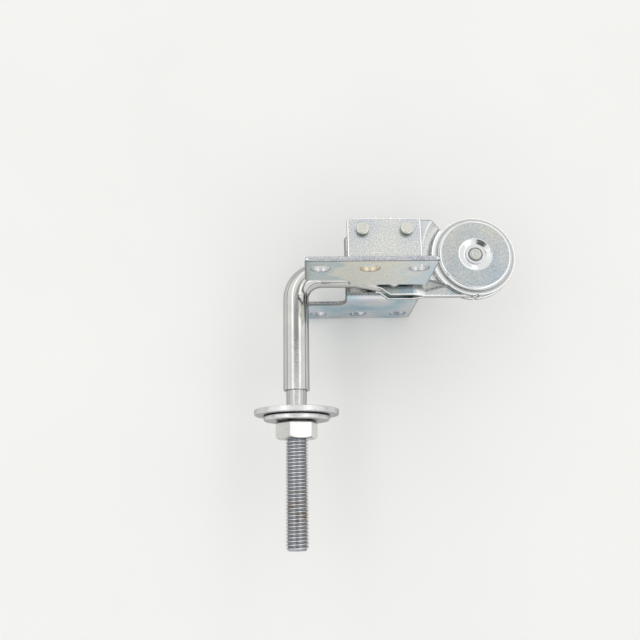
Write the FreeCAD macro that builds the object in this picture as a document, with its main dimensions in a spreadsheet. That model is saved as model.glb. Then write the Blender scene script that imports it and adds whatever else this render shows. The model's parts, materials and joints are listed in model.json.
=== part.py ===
import FreeCAD, Part
import math
import os
import re
import Sketcher

# Sofa headrest ratchet hinge, in millimetres.
# +X runs from the stud to the pivot drum, -Y is the way the stud points, +Z is the pivot axis.
# The origin is on the stud's axis, at the lower face of the clamping nut.
SIZES = {
    # Threaded stud, nut and washers
    "thread_dia": 10.0,
    "thread_mid_dia": 9.0,
    "thread_free": 47.5,
    "thread_tip": 1.2,
    "neck_dia": 9.3,
    "neck_show": 9.0,
    "neck_grip": 18.0,
    "nut_across": 17.0,
    "nut_height": 8.0,
    "nut_bevel": 0.9,
    "nut_turn": 46.5,
    "small_washer_dia": 30.0,
    "small_washer_thick": 2.5,
    "large_washer_dia": 38.5,
    "large_washer_thick": 2.5,
    "washer_bore": 10.6,
    "washer_edge": 0.4,
    # Depth and height of the blanks that the stamped outlines and sections are cut from
    "blank_deep": 48.0,
    "blank_tall": 340.0,
    # Bent tube
    "tube_dia": 12.0,
    "leg_rise": 55.7,
    "bend_radius": 12.0,
    "flat_start": 28.0,
    "flat_taper": 11.0,
    "flat_end": 51.0,
    "flat_thick": 5.2,
    "flat_width": 16.0,
    # Pivot place and arm plates
    "pivot_reach": 86.0,
    "pivot_rise": 7.9,
    "arm_thick": 2.0,
    "arm_radius": 19.3,
    "arm_start": 38.5,
    "arm_lip": 1.5,
    "arm_flare": 6.0,
    "arm_round": 3.0,
    "arm_step_from": 24.5,
    "arm_step_length": 5.9,
    "edge_notch_dia": 1.4,
    "edge_notch_spread": 3.0,
    "arm_rivet_place": 46.5,
    "arm_rivet_spread": 9.6,
    "arm_rivet_dia": 3.0,
    "arm_rivet_head_dia": 5.2,
    "arm_rivet_head_tall": 1.4,
    # Ratchet teeth, pawl and spring
    "tooth_steps": 12.0,
    "tooth_pitch": 8.0,
    "tooth_ramp": 6.5,
    "tooth_lean": 2.4,
    "tooth_rim": 4.8,
    "tooth_depth": 1.2,
    "tooth_overcut": 0.4,
    "tooth_gap": 0.7,
    "window_post_room": 0.5,
    "window_heel_room": 14.0,
    "window_tip_room": 41.0,
    "pawl_pin_dia": 3.0,
    "pawl_inset": 2.4,
    "pawl_angle": 33.0,
    "pawl_lift": 10.0,
    "pawl_heel": 2.0,
    "pawl_length": 7.55,
    "pawl_tip_out": 0.86,
    "pawl_shoulder_back": 2.6,
    "pawl_shoulder_out": 0.25,
    "pawl_end_in": 1.98,
    "pawl_end_back": 1.82,
    "post_dia": 1.5,
    "post_inset": 3.65,
    "post_back": 8.0,
    "spring_thick": 0.5,
    "spring_tall": 3.4,
    "spring_gap": 0.05,
    "spring_tail": 4.0,
    "spring_sweep": 42.0,
    # Link plates, covers and pivot
    "side_play": 0.1,
    "link_thick": 2.0,
    "link_overhang": 0.6,
    "link_step_margin": 0.7,
    "link_step_length": 5.4,
    "link_inset": 1.8,
    "link_top_inset": 0.4,
    "link_width": 30.8,
    "link_shoulder_back": 21.5,
    "link_shoulder_reach": 15.0,
    "link_shoulder_drop": 3.0,
    "cover_inset": 2.1,
    "cover_thick": 1.2,
    "cover_height": 2.3,
    "cover_round": 1.6,
    "dish_dia": 10.6,
    "dish_depth": 1.0,
    "dish_slope": 2.6,
    "dish_round": 2.0,
    "pivot_dia": 6.8,
    "pivot_proud": 0.5,
    "pivot_edge": 0.4,
    "pivot_fit": 0.05,
    "collar_dia": 9.4,
    "collar_thick": 0.7,
    # Brackets, rivets and spacers
    "sheet_thick": 2.25,
    "sheet_bend": 1.2,
    "plate_gap": 20.7,
    "plate_height": 33.8,
    "flange_drop": 9.3,
    "flange_back": 81.7,
    "flange_length": 56.4,
    "flange_reach": 34.5,
    "plate_inset": 1.1,
    "tab_length": 20.0,
    "notch_depth": 9.0,
    "notch_round": 4.5,
    "corner_round": 2.0,
    "nub_first": 13.0,
    "nub_pitch": 7.2,
    "nub_width": 1.6,
    "nub_tall": 0.5,
    "hole_dia": 8.4,
    "hole_pitch": 21.0,
    "hole_first": 6.9,
    "hole_edge": 9.2,
    "rivet_dia": 4.0,
    "rivet_head_dia": 6.2,
    "rivet_head_tall": 2.6,
    "rivet_head_round": 0.5,
    "rivet_first": 7.4,
    "rivet_pitch": 20.8,
    "rivet_edge": 6.35,
    "spacer_dia": 9.0,
    "stop_gap": 0.3,
}

# Places worked out from the sizes above
SMALL_WASHER_TOP = "(nut_height + small_washer_thick)"
LARGE_WASHER_TOP = "(nut_height + small_washer_thick + large_washer_thick)"
TUBE_END = f"({LARGE_WASHER_TOP} + neck_show)"
LEG_LEVEL = f"({TUBE_END} + leg_rise)"
PIVOT_LEVEL = f"({LEG_LEVEL} + pivot_rise)"
FLANGE_LEVEL = f"({LEG_LEVEL} - flange_drop)"
PLATE_TOP = f"({FLANGE_LEVEL} + plate_height)"
FLANGE_LEFT = "(pivot_reach - flange_back)"
PLATE_LEFT = f"({FLANGE_LEFT} + tab_length)"
PLATE_RIGHT = f"({FLANGE_LEFT} + flange_length - plate_inset)"
RIVET_LEVEL = f"({PLATE_TOP} - rivet_edge)"
RIVET_PLACES = [f"({PLATE_LEFT} + rivet_first)", f"({PLATE_LEFT} + rivet_first + rivet_pitch)"]
ARM_TOP = f"({RIVET_LEVEL} - spacer_dia / 2 - stop_gap)"
ARM_STEP = "(flat_thick / 2)"
ARM_RIVET_LEVELS = [f"({LEG_LEVEL} - arm_rivet_spread / 2)", f"({LEG_LEVEL} + arm_rivet_spread / 2)"]
LINK_RADIUS = "(arm_radius + link_overhang)"
LINK_FLOOR = "(arm_thick + side_play)"
LINK_FACE = f"({LINK_FLOOR} + link_thick)"
PLATE_INNER = "(plate_gap / 2)"
PLATE_OUTER = "(plate_gap / 2 + sheet_thick)"
COVER_RADIUS = f"({LINK_RADIUS} - cover_inset)"
DISH_FLOOR = f"({LINK_FACE} + cover_height - dish_depth)"
PIVOT_END = f"({DISH_FLOOR} + collar_thick + pivot_proud)"
TOOTH_ROOT = "(arm_radius - tooth_rim)"
TOOTH_TIP = f"({TOOTH_ROOT} - tooth_depth)"
PAWL_RING = f"({TOOTH_TIP} - pawl_inset)"
PAWL_TIP_ANGLE = f"(atan(pawl_length / ({PAWL_RING} + pawl_tip_out)) / 1 deg)"
POST_RING = f"({PAWL_RING} - post_inset)"
SWEEP = "(tooth_steps * tooth_pitch)"
WINDOW_INNER = f"({POST_RING} - post_dia / 2 - window_post_room)"
SPRING_RING = f"({POST_RING} + post_dia / 2 + spring_gap)"
POST_ANGLE = "(pawl_angle - post_back)"

doc = FreeCAD.newDocument("headrest_hinge")
sheet = doc.addObject("Spreadsheet::Sheet", "Sizes")
for row, (alias, value) in enumerate(SIZES.items(), start=1):
    sheet.set(f"A{row}", alias)
    sheet.set(f"B{row}", str(value))
    sheet.setAlias(f"B{row}", alias)
doc.recompute()


def cells(expression):
    """The expression with every size named as a cell of the sheet."""
    return re.sub(r"[a-z_]+", lambda m: f"Sizes.{m[0]}" if m[0] in SIZES else m[0], expression)


def bind(thing, **properties):
    """Ties properties to expressions; a double underscore stands for a dot in the property's name."""
    for name, expression in properties.items():
        thing.setExpression(name.replace("__", "."), cells(expression))


def new_body(name):
    return doc.addObject("PartDesign::Body", name)


def new_sketch(body, name, plane):
    """A sketch on one of the body's own origin planes."""
    sketch = body.newObject("Sketcher::SketchObject", name)
    sketch.AttachmentSupport = [(origin_part(body, plane), "")]
    sketch.MapMode = "FlatFace"
    return sketch


def draw_outline(sketch, corners):
    """A closed outline of straight edges, each corner held by two dimensions from the sketch's origin."""
    count = len(corners)
    turns = [k * math.tau / count for k in range(count)]
    ring = [FreeCAD.Vector(math.cos(turn_by), math.sin(turn_by), 0) for turn_by in turns]
    for k in range(count):
        sketch.addGeometry(Part.LineSegment(ring[k], ring[(k + 1) % count]), False)
    for k in range(count):
        sketch.addConstraint(Sketcher.Constraint("Coincident", k, 2, (k + 1) % count, 1))
    for k, (across, along) in enumerate(corners):
        for kind, start, expression in (("DistanceX", ring[k].x, across), ("DistanceY", ring[k].y, along)):
            index = sketch.addConstraint(Sketcher.Constraint(kind, k, 1, start))
            sketch.setExpression(f"Constraints[{index}]", cells(expression))


def draw_circles(sketch, circles):
    """Circles given as radius, across and along, each held by three dimensions."""
    for k, (radius, across, along) in enumerate(circles):
        sketch.addGeometry(Part.Circle(FreeCAD.Vector(k, k, 0), FreeCAD.Vector(0, 0, 1), 1), False)
        for constraint, expression in (
            (Sketcher.Constraint("Radius", k, 1.0), radius),
            (Sketcher.Constraint("DistanceX", k, 3, float(k)), across),
            (Sketcher.Constraint("DistanceY", k, 3, float(k)), along),
        ):
            index = sketch.addConstraint(constraint)
            sketch.setExpression(f"Constraints[{index}]", cells(expression))


def pad(body, sketch, length, side="Symmetric"):
    feature = body.newObject("PartDesign::Pad", sketch.Name + "_pad")
    feature.Profile = sketch
    feature.SideType = side
    bind(feature, Length=length)
    return feature


def pierce(body, sketch):
    """The sketch's shape cut right through the body, square to the sketch's plane."""
    feature = body.newObject("PartDesign::Pocket", sketch.Name + "_pocket")
    feature.Profile = sketch
    feature.Type = "ThroughAll"
    feature.SideType = "Symmetric"
    return feature


def drill(body, name, plane, circles):
    """Round holes right through the body, square to the plane."""
    sketch = new_sketch(body, name, plane)
    draw_circles(sketch, circles)
    return pierce(body, sketch)


def origin_part(body, role):
    """One of the planes or axes of the body's own origin."""
    return next(part for part in body.Origin.OriginFeatures if part.Role == role)


def turn(body, name, plane, corners):
    """A turned piece: an outline of radius and height, revolved about the sketch's upright axis."""
    sketch = new_sketch(body, name, plane)
    draw_outline(sketch, corners)
    feature = body.newObject("PartDesign::Revolution", name + "_revolution")
    feature.Profile = sketch
    feature.ReferenceAxis = (sketch, ["V_Axis"])
    return feature


def straight_edges(feature, direction, test):
    """Names of the straight edges along a direction whose middle point passes the test."""
    doc.recompute()
    names = []
    for number, edge in enumerate(feature.Shape.Edges, start=1):
        if isinstance(edge.Curve, Part.Line) and edge.Curve.Direction.cross(direction).Length < 1e-6:
            if test(edge.CenterOfMass):
                names.append(f"Edge{number}")
    return names


def circular_edges(feature, test):
    """Names of the feature's circular edges that pass the test."""
    doc.recompute()
    return [f"Edge{number}" for number, edge in enumerate(feature.Shape.Edges, start=1)
            if isinstance(edge.Curve, Part.Circle) and test(edge.Curve)]


def round_edges(body, feature, names, radius):
    fillet = body.newObject("PartDesign::Fillet", feature.Name + "_fillet")
    fillet.Base = (feature, names)
    bind(fillet, Radius=radius)
    return fillet


def common(name, base, tool):
    result = doc.addObject("Part::Common", name)
    result.Base, result.Tool = base, tool
    return result


def cut(name, base, tool):
    result = doc.addObject("Part::Cut", name)
    result.Base, result.Tool = base, tool
    return result


def fuse(name, shapes):
    result = doc.addObject("Part::MultiFuse", name)
    result.Shapes = shapes
    return result


def group(name, shapes):
    result = doc.addObject("Part::Compound", name)
    result.Links = shapes
    return result


def mirrored(name, source):
    """The same piece on the other side of the hinge's middle plane."""
    result = doc.addObject("Part::Mirroring", name)
    result.Source = source
    result.Normal = (0, 0, 1)
    return result


X_AXIS, Y_AXIS, Z_AXIS = FreeCAD.Vector(1, 0, 0), FreeCAD.Vector(0, 1, 0), FreeCAD.Vector(0, 0, 1)
ALONG_X = FreeCAD.Rotation(FreeCAD.Vector(1, 1, 1), 120)
ALONG_Y = FreeCAD.Rotation(X_AXIS, -90)
pieces = []


def keep(thing, label):
    """Names a finished piece, which is written out under that name."""
    thing.Label = label
    pieces.append(thing)
    return thing


# Threaded stud: turned bar with a chamfered tip, a thread that runs on through the nut at its middle
# diameter, and a plain neck pressed into the tube
stud = new_body("stud")
turn(stud, "stud_profile", "XY_Plane", [
    ("0", "-thread_free"),
    ("thread_dia / 2 - thread_tip", "-thread_free"),
    ("thread_dia / 2", "-thread_free + thread_tip"),
    ("thread_dia / 2", "0"),
    ("thread_mid_dia / 2", "0"),
    ("thread_mid_dia / 2", "nut_height"),
    ("neck_dia / 2", "nut_height"),
    ("neck_dia / 2", f"{TUBE_END} + neck_grip"),
    ("0", f"{TUBE_END} + neck_grip"),
])
keep(stud, "threaded_stud")

# Hexagon nut: a six-sided bar faced off with a bevel at both ends and bored to the thread
hexagon = new_body("hexagon")
hexagon_sketch = new_sketch(hexagon, "hexagon_outline", "XZ_Plane")
draw_outline(hexagon_sketch, [
    (f"nut_across / sqrt(3) * cos({60 * k} + nut_turn)", f"nut_across / sqrt(3) * sin({60 * k} + nut_turn)")
    for k in range(6)
])
pad(hexagon, hexagon_sketch, "2 * nut_height")
drill(hexagon, "nut_bore", "XZ_Plane", [("thread_mid_dia / 2", "0", "0")])
nut_blank = new_body("nut_blank")
turn(nut_blank, "nut_profile", "XY_Plane", [
    ("0", "0"),
    ("nut_across / 2", "0"),
    ("nut_across / sqrt(3)", "nut_bevel"),
    ("nut_across / sqrt(3)", "nut_height - nut_bevel"),
    ("nut_across / 2", "nut_height"),
    ("0", "nut_height"),
])
keep(common("nut", hexagon, nut_blank), "hex_nut")


# Washers: flat stamped rings with a broken outer edge, round the stud's plain neck
def washer(label, dia, bottom, top):
    ring = new_body(label + "_body")
    turn(ring, label + "_profile", "XY_Plane", [
        ("washer_bore / 2", bottom),
        (f"{dia} / 2 - washer_edge", bottom),
        (f"{dia} / 2", f"{bottom} + washer_edge"),
        (f"{dia} / 2", f"{top} - washer_edge"),
        (f"{dia} / 2 - washer_edge", top),
        ("washer_bore / 2", top),
    ])
    keep(ring, label)


washer("small_washer", "small_washer_dia", "nut_height", SMALL_WASHER_TOP)
washer("large_washer", "large_washer_dia", SMALL_WASHER_TOP, LARGE_WASHER_TOP)


# Bent tube: an upright, a quarter bend and a level leg whose end is squeezed flat for the arm plates
def squeezed_end(name, radius, half_width, half_thick):
    """The last stretch of the leg, from the round section to a flat one with round edges, along +X."""
    def ring(place, corners, middles):
        edges = []
        for k in range(4):
            spots = [corners[k], middles[k], corners[(k + 1) % 4]]
            points = [FreeCAD.Vector(place, *spot) for spot in spots]
            level = abs(points[0].z - points[1].z) < 1e-9
            edges.append(Part.makeLine(points[0], points[2]) if level else Part.Arc(*points).toShape())
        return Part.Wire(edges)

    slant = radius / math.sqrt(2)
    side = half_width - half_thick
    round_ring = ring(0, [(-slant, slant), (slant, slant), (slant, -slant), (-slant, -slant)],
                      [(0, radius), (radius, 0), (0, -radius), (-radius, 0)])
    flat_ring = ring(sheet.flat_taper,
                     [(-side, half_thick), (side, half_thick), (side, -half_thick), (-side, -half_thick)],
                     [(0, half_thick), (half_width, 0), (0, -half_thick), (-half_width, 0)])
    flat_run = X_AXIS * (sheet.flat_end - sheet.flat_start - sheet.flat_taper)
    end = doc.addObject("Part::Feature", name)
    taper = Part.makeLoft([round_ring, flat_ring], True, True)
    end.Shape = taper.fuse(Part.Face(flat_ring).extrude(flat_run))
    bind(end, Placement__Base__x="flat_start", Placement__Base__y=LEG_LEVEL)
    return end


def tube_run(name, radius, end):
    """The tube's whole length as a solid bar of the given radius, closed by its squeezed end."""
    upright = doc.addObject("Part::Cylinder", name + "_upright")
    upright.Placement.Rotation = ALONG_Y
    bind(upright, Radius=radius, Height="leg_rise - bend_radius", Placement__Base__y=TUBE_END)
    bend = doc.addObject("Part::Torus", name + "_bend")
    bend.Placement.Rotation = FreeCAD.Rotation(Z_AXIS, 90)
    bend.Angle3 = 90
    bind(bend, Radius1="bend_radius", Radius2=radius,
         Placement__Base__x="bend_radius", Placement__Base__y=f"{LEG_LEVEL} - bend_radius")
    level = doc.addObject("Part::Cylinder", name + "_level")
    level.Placement.Rotation = ALONG_X
    bind(level, Radius=radius, Height="flat_start - bend_radius",
         Placement__Base__x="bend_radius", Placement__Base__y=LEG_LEVEL)
    return fuse(name, [upright, bend, level, end])


wall = (sheet.tube_dia - sheet.neck_dia) / 2
outer_end = squeezed_end("tube_outer_end", sheet.tube_dia / 2, sheet.flat_width / 2, sheet.flat_thick / 2)
inner_end = squeezed_end(
    "tube_inner_end", sheet.neck_dia / 2, sheet.flat_width / 2 - wall, sheet.flat_thick / 2 - wall)
tube_outside = tube_run("tube_outside", "tube_dia / 2", outer_end)
tube_inside = tube_run("tube_inside", "neck_dia / 2", inner_end)
tube_hollow = cut("tube_hollow", tube_outside, tube_inside)
tube_holes = new_body("tube_holes")
tube_holes_sketch = new_sketch(tube_holes, "tube_hole_circles", "XY_Plane")
draw_circles(tube_holes_sketch, [
    ("arm_rivet_dia / 2", "arm_rivet_place", level) for level in ARM_RIVET_LEVELS
])
tube_holes.AllowCompound = True
pad(tube_holes, tube_holes_sketch, "blank_deep")
keep(cut("tube", tube_hollow, tube_holes), "bent_tube")

# Ratchet window: a kidney-shaped opening through both arm plates, with saw teeth along its outer arc
window = new_body("ratchet_window")
window_sketch = new_sketch(window, "window_section", "XZ_Plane")
draw_outline(window_sketch, [
    (WINDOW_INNER, "-2 * arm_thick"),
    (TOOTH_TIP, "-2 * arm_thick"),
    (TOOTH_TIP, "2 * arm_thick"),
    (WINDOW_INNER, "2 * arm_thick"),
])
window_arc = window.newObject("PartDesign::Revolution", "window_arc")
window_arc.Profile = window_sketch
window_arc.ReferenceAxis = (window_sketch, ["V_Axis"])
bind(window_arc, Angle=f"window_heel_room + {SWEEP} + window_tip_room")
FIRST_TOOTH = f"(window_heel_room + {PAWL_TIP_ANGLE} + tooth_gap)"
TOOTH_BASE = f"({TOOTH_TIP} - tooth_overcut)"
tooth_sketch = new_sketch(window, "tooth_outline", "XY_Plane")
draw_outline(tooth_sketch, [
    (f"{TOOTH_BASE} * cos({FIRST_TOOTH} - tooth_ramp)", f"{TOOTH_BASE} * sin({FIRST_TOOTH} - tooth_ramp)"),
    (f"{TOOTH_BASE} * cos({FIRST_TOOTH} + tooth_lean)", f"{TOOTH_BASE} * sin({FIRST_TOOTH} + tooth_lean)"),
    (f"{TOOTH_ROOT} * cos({FIRST_TOOTH})", f"{TOOTH_ROOT} * sin({FIRST_TOOTH})"),
])
tooth = pad(window, tooth_sketch, "4 * arm_thick")
teeth = window.newObject("PartDesign::PolarPattern", "teeth")
teeth.Originals = [tooth]
teeth.Axis = (origin_part(window, "Z_Axis"), [""])
bind(teeth, Angle=SWEEP, Occurrences="tooth_steps + 1")
window.Tip = teeth
window.Placement.Rotation = FreeCAD.Rotation(Z_AXIS, 1)
bind(window, Placement__Base__x="pivot_reach", Placement__Base__y=PIVOT_LEVEL,
     Placement__Rotation__Angle=f"pawl_angle - {SWEEP} - window_heel_room")

# Arm plates: two stampings that grip the flat of the tube, step together and end as discs round the pivot
arm_outline = new_body("arm_outline")
arm_sketch = new_sketch(arm_outline, "arm_edge", "XY_Plane")
draw_outline(arm_sketch, [
    ("arm_start", f"{LEG_LEVEL} - flat_width / 2"),
    ("arm_start + arm_lip", f"{LEG_LEVEL} - flat_width / 2"),
    ("arm_start + arm_flare", f"{PIVOT_LEVEL} - arm_radius"),
    ("pivot_reach", f"{PIVOT_LEVEL} - arm_radius"),
    ("pivot_reach", ARM_TOP),
    ("arm_start + arm_flare", ARM_TOP),
    ("arm_start + arm_lip", f"{LEG_LEVEL} + flat_width / 2"),
    ("arm_start", f"{LEG_LEVEL} + flat_width / 2"),
])
arm_pad = pad(arm_outline, arm_sketch, "blank_deep")
arm_flares = straight_edges(
    arm_pad, Z_AXIS, lambda p: SIZES["arm_start"] + 1e-3 < p.x < SIZES["pivot_reach"] - 1e-3)
round_edges(arm_outline, arm_pad, arm_flares, "arm_round")
arm_disc_sketch = new_sketch(arm_outline, "arm_disc", "XY_Plane")
draw_circles(arm_disc_sketch, [("arm_radius", "pivot_reach", PIVOT_LEVEL)])
pad(arm_outline, arm_disc_sketch, "blank_deep")
drill(arm_outline, "arm_holes", "XY_Plane",
      [("pivot_dia / 2 + pivot_fit", "pivot_reach", PIVOT_LEVEL)]
      + [("arm_rivet_dia / 2", "arm_rivet_place", level) for level in ARM_RIVET_LEVELS]
      + [("edge_notch_dia / 2", f"pivot_reach {side} edge_notch_spread / 2", f"{PIVOT_LEVEL} - arm_radius")
         for side in "+-"])
arm_profile = new_body("arm_profile")
arm_profile_sketch = new_sketch(arm_profile, "arm_section", "XZ_Plane")
draw_outline(arm_profile_sketch, [
    ("arm_start", ARM_STEP),
    ("pivot_reach - arm_step_from - arm_step_length", ARM_STEP),
    ("pivot_reach - arm_step_from", "0"),
    ("pivot_reach + 2 * arm_radius", "0"),
    ("pivot_reach + 2 * arm_radius", "arm_thick"),
    ("pivot_reach - arm_step_from", "arm_thick"),
    ("pivot_reach - arm_step_from - arm_step_length", f"{ARM_STEP} + arm_thick"),
    ("arm_start", f"{ARM_STEP} + arm_thick"),
])
pad(arm_profile, arm_profile_sketch, "blank_tall")
arm_blank = common("arm_blank", arm_profile, arm_outline)
front_arm = keep(cut("front_arm", arm_blank, window), "front_arm_plate")
keep(mirrored("back_arm", front_arm), "back_arm_plate")


# Rivets: a shank and a head at each end
def rivet(name, shank, head, head_tall, edge, half_grip, across, along):
    body = new_body(name)
    turn(body, name + "_profile", "XZ_Plane", [
        ("0", f"-{half_grip} - {head_tall}"),
        (f"{head} / 2 - {edge}", f"-{half_grip} - {head_tall}"),
        (f"{head} / 2", f"-{half_grip} - {head_tall} + {edge}"),
        (f"{head} / 2", f"-{half_grip}"),
        (f"{shank} / 2", f"-{half_grip}"),
        (f"{shank} / 2", half_grip),
        (f"{head} / 2", half_grip),
        (f"{head} / 2", f"{half_grip} + {head_tall} - {edge}"),
        (f"{head} / 2 - {edge}", f"{half_grip} + {head_tall}"),
        ("0", f"{half_grip} + {head_tall}"),
    ])
    bind(body, Placement__Base__x=across, Placement__Base__y=along)
    return body


keep(group("arm_rivet_pair", [
    rivet(f"arm_rivet_{k}", "arm_rivet_dia", "arm_rivet_head_dia", "arm_rivet_head_tall", "rivet_head_round",
          f"({ARM_STEP} + arm_thick)", "arm_rivet_place", level)
    for k, level in enumerate(ARM_RIVET_LEVELS)
]), "arm_rivets")
keep(group("bracket_rivet_pair", [
    rivet(f"bracket_rivet_{k}", "rivet_dia", "rivet_head_dia", "rivet_head_tall", "rivet_head_round",
          PLATE_OUTER, place, RIVET_LEVEL)
    for k, place in enumerate(RIVET_PLACES)
]), "bracket_rivets")

# Spacers: short tubes on the long rivets, which hold the link plates apart
spacers = []
for k, place in enumerate(RIVET_PLACES):
    spacer = new_body(f"spacer_{k}")
    turn(spacer, f"spacer_profile_{k}", "XZ_Plane", [
        ("rivet_dia / 2", f"-({PLATE_INNER} - link_thick)"),
        ("spacer_dia / 2", f"-({PLATE_INNER} - link_thick)"),
        ("spacer_dia / 2", f"{PLATE_INNER} - link_thick"),
        ("rivet_dia / 2", f"{PLATE_INNER} - link_thick"),
    ])
    bind(spacer, Placement__Base__x=place, Placement__Base__y=RIVET_LEVEL)
    spacers.append(spacer)
keep(group("spacer_pair", spacers), "rivet_spacers")

# Link plates: stampings riveted inside the brackets, coned in to the drum and ending as discs
PAWL_PIN = (f"{PAWL_RING} * cos(pawl_angle)", f"{PAWL_RING} * sin(pawl_angle)")
POST = (f"{POST_RING} * cos({POST_ANGLE})", f"{POST_RING} * sin({POST_ANGLE})")
link_outline = new_body("link_outline")
link_sketch = new_sketch(link_outline, "link_edge", "XY_Plane")
LINK_TOP = f"({PLATE_TOP} - link_top_inset)"
draw_outline(link_sketch, [
    (f"{PLATE_LEFT} + link_inset", f"{LINK_TOP} - link_width"),
    ("pivot_reach", f"{LINK_TOP} - link_width"),
    ("pivot_reach", f"{PIVOT_LEVEL} + pivot_rise"),
    ("pivot_reach - link_shoulder_reach", f"{LINK_TOP} - link_shoulder_drop"),
    ("pivot_reach - link_shoulder_back", LINK_TOP),
    (f"{PLATE_LEFT} + link_inset", LINK_TOP),
])
pad(link_outline, link_sketch, "blank_deep")
link_disc_sketch = new_sketch(link_outline, "link_disc", "XY_Plane")
draw_circles(link_disc_sketch, [(LINK_RADIUS, "pivot_reach", PIVOT_LEVEL)])
pad(link_outline, link_disc_sketch, "blank_deep")
drill(link_outline, "link_holes", "XY_Plane", [
    ("pivot_dia / 2", "pivot_reach", PIVOT_LEVEL),
    ("pawl_pin_dia / 2", f"pivot_reach + {PAWL_PIN[0]}", f"{PIVOT_LEVEL} + {PAWL_PIN[1]}"),
    ("post_dia / 2", f"pivot_reach + {POST[0]}", f"{PIVOT_LEVEL} + {POST[1]}"),
    ("edge_notch_dia / 2", "pivot_reach", f"{PIVOT_LEVEL} - {LINK_RADIUS}"),
    *[("rivet_dia / 2", place, RIVET_LEVEL) for place in RIVET_PLACES],
])
LINK_STEP_IN = f"({LINK_RADIUS} + link_step_margin)"
LINK_STEP_OUT = f"({LINK_STEP_IN} + link_step_length)"
LINK_STEP_SHIFT = f"(link_thick * tan(atan(({PLATE_INNER} - {LINK_FACE}) / link_step_length) / 2))"
link_profile = new_body("link_profile")
link_section = turn(link_profile, "link_section", "XZ_Plane", [
    ("0", LINK_FLOOR),
    (f"{LINK_STEP_IN} + {LINK_STEP_SHIFT}", LINK_FLOOR),
    (f"{LINK_STEP_OUT} + {LINK_STEP_SHIFT}", f"{PLATE_INNER} - link_thick"),
    ("flange_back", f"{PLATE_INNER} - link_thick"),
    ("flange_back", PLATE_INNER),
    (LINK_STEP_OUT, PLATE_INNER),
    (LINK_STEP_IN, LINK_FACE),
    ("0", LINK_FACE),
])
link_bends = circular_edges(link_section, lambda circle: circle.Radius < SIZES["flange_back"] - 1e-3)
round_edges(link_profile, link_section, link_bends, "sheet_bend")
bind(link_profile, Placement__Base__x="pivot_reach", Placement__Base__y=PIVOT_LEVEL)
front_link = keep(common("front_link", link_profile, link_outline), "front_link_plate")
keep(mirrored("back_link", front_link), "back_link_plate")

# Brackets: folded sheets with a plate riveted to the link and a flange of screw holes for the headrest board;
# two sheared stubs of the strip are left on the plate's edge
bracket = new_body("bracket")
bracket_sketch = new_sketch(bracket, "bracket_section", "YZ_Plane")
draw_outline(bracket_sketch, [
    (FLANGE_LEVEL, PLATE_INNER),
    (PLATE_TOP, PLATE_INNER),
    (PLATE_TOP, PLATE_OUTER),
    (f"{FLANGE_LEVEL} + sheet_thick", PLATE_OUTER),
    (f"{FLANGE_LEVEL} + sheet_thick", f"{PLATE_INNER} + flange_reach"),
    (FLANGE_LEVEL, f"{PLATE_INNER} + flange_reach"),
])
bind(bracket_sketch, AttachmentOffset__Base__z=FLANGE_LEFT)
bracket_pad = pad(bracket, bracket_sketch, "flange_length", "One side")
doc.recompute()
section = bracket_pad.Shape.BoundBox
outer_fold = straight_edges(
    bracket_pad, X_AXIS, lambda p: p.y < section.YMin + 1e-3 and p.z < section.ZMin + 1e-3)
outer_bend = round_edges(bracket, bracket_pad, outer_fold, "sheet_bend + sheet_thick")
inner_fold = straight_edges(
    outer_bend, X_AXIS, lambda p: section.YMin + 1e-3 < p.y < section.YMax - 1e-3
    and abs(p.z - section.ZMin - SIZES["sheet_thick"]) < 1e-3)
round_edges(bracket, outer_bend, inner_fold, "sheet_bend")
edge_sketch = new_sketch(bracket, "plate_edge", "XY_Plane")
draw_outline(edge_sketch, [
    (PLATE_RIGHT, f"{FLANGE_LEVEL} + 2 * (sheet_bend + sheet_thick)"),
    (f"{PLATE_RIGHT} + sheet_thick", f"{FLANGE_LEVEL} + 2 * (sheet_bend + sheet_thick)"),
    (f"{PLATE_RIGHT} + sheet_thick", f"{PLATE_TOP} + sheet_thick"),
    (PLATE_RIGHT, f"{PLATE_TOP} + sheet_thick"),
])
pierce(bracket, edge_sketch)
notch_sketch = new_sketch(bracket, "notch_outline", "XZ_Plane")
draw_outline(notch_sketch, [
    (f"{FLANGE_LEFT} - sheet_thick", "0"),
    (PLATE_LEFT, "0"),
    (PLATE_LEFT, f"{PLATE_INNER} + notch_depth"),
    (f"{FLANGE_LEFT} - sheet_thick", f"{PLATE_INNER} + notch_depth"),
])
notch = pierce(bracket, notch_sketch)
notch_corner = straight_edges(
    notch, Y_AXIS, lambda p: section.XMin + 1e-3 < p.x < section.XMax - 1e-3
    and section.ZMin + SIZES["sheet_bend"] + SIZES["sheet_thick"] < p.z < section.ZMax - 1e-3)
notch_rounding = round_edges(bracket, notch, notch_corner, "notch_round")
free_corners = straight_edges(notch_rounding, Y_AXIS, lambda p: p.z > section.ZMax - 1e-3)
free_corners += straight_edges(notch_rounding, Z_AXIS, lambda p: p.y > section.YMax - 1e-3)
round_edges(bracket, notch_rounding, free_corners, "corner_round")
drill(bracket, "screw_holes", "XZ_Plane", [
    ("hole_dia / 2", f"{FLANGE_LEFT} + hole_first + {k} * hole_pitch",
     f"{PLATE_INNER} + flange_reach - hole_edge")
    for k in range(3)
])
drill(bracket, "rivet_holes", "XY_Plane", [("rivet_dia / 2", place, RIVET_LEVEL) for place in RIVET_PLACES])
nub_sketch = new_sketch(bracket, "nub_outline", "XY_Plane")
draw_outline(nub_sketch, [
    (f"{PLATE_LEFT} + nub_first", f"{PLATE_TOP} - nub_tall"),
    (f"{PLATE_LEFT} + nub_first + nub_width", f"{PLATE_TOP} - nub_tall"),
    (f"{PLATE_LEFT} + nub_first + nub_width", f"{PLATE_TOP} + nub_tall"),
    (f"{PLATE_LEFT} + nub_first", f"{PLATE_TOP} + nub_tall"),
])
bind(nub_sketch, AttachmentOffset__Base__z=PLATE_INNER)
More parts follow.
